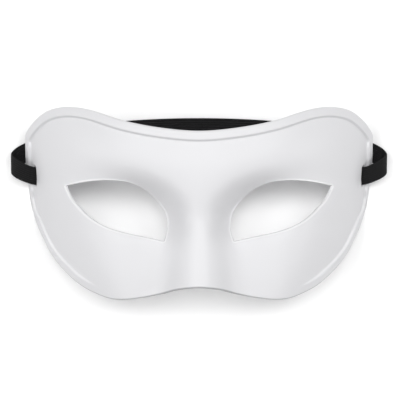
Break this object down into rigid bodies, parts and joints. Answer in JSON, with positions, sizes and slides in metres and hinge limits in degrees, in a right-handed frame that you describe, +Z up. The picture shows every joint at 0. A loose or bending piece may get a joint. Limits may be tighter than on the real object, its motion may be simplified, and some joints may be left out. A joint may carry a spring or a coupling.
{
  "type": "masquerade eye mask",
  "caption": "Plain white moulded half mask with almond eye holes, a raised rim and a ribbed black elastic strap, lying face up.",
  "frame": {"origin": "under the middle of the mask, in the plane that its two side rims lie on", "axes": "+X across the eyes, +Y from the nose to the forehead, +Z up, out of the face"},
  "size_m": [0.1866, 0.0922, 0.0553],
  "materials": {
    "white_plastic": "satin moulded",
    "black_elastic": "ribbed woven"
  },
  "bodies": {
    "root": {"mask_shell": "white_plastic", "elastic_strap": "black_elastic"}
  },
  "joints": []
}
